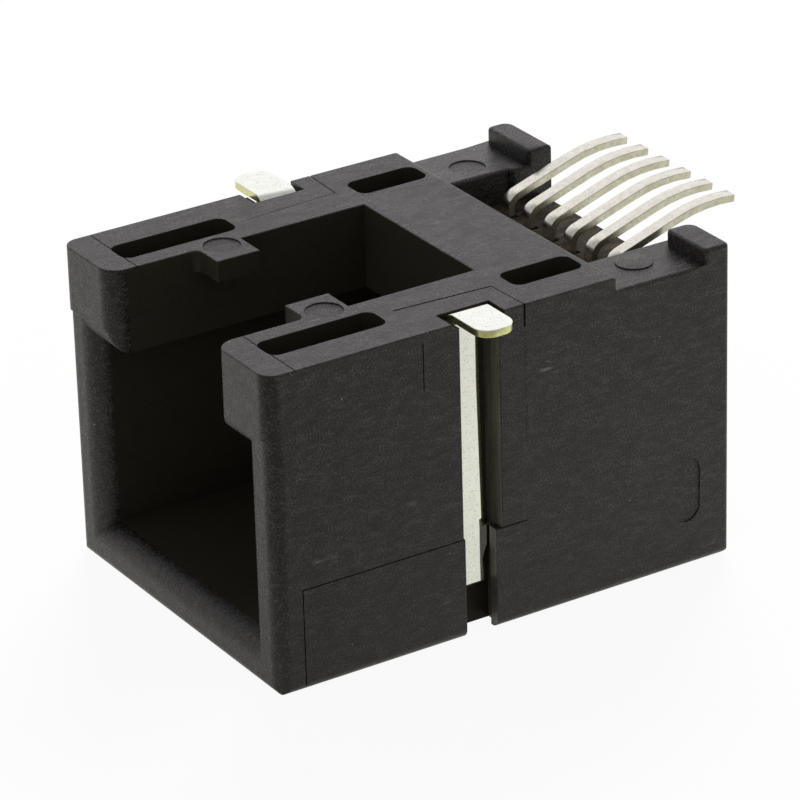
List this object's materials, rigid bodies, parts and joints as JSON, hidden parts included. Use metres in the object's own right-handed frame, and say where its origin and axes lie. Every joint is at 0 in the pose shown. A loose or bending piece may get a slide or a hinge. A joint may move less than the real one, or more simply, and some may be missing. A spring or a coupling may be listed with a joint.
{
  "type": "modular jack",
  "caption": "Surface-mount modular jack: black moulded housing with plug cavity, latch opening and catches, bent spring contacts with solder tails, and side fitting nails.",
  "frame": {"origin": "middle of the flat cover face that the jack lies on in the picture", "axes": "+Z from the cover face to the board side, -Y out of the mouth for the plug, +Y along the solder tails, +X to the right when the mouth faces the viewer"},
  "size_m": [0.016, 0.0207, 0.0116],
  "materials": {
    "black_moulding": "glass-filled matte moulding",
    "tinned_contact": "matte tin plating",
    "bright_tin": "bright tin plating"
  },
  "bodies": {
    "root": {"housing": "black_moulding", "contact_1": "tinned_contact", "contact_2": "tinned_contact", "contact_3": "tinned_contact", "contact_4": "tinned_contact", "contact_5": "tinned_contact", "contact_6": "tinned_contact", "left_fitting_nail": "bright_tin", "right_fitting_nail": "bright_tin"}
  },
  "joints": []
}
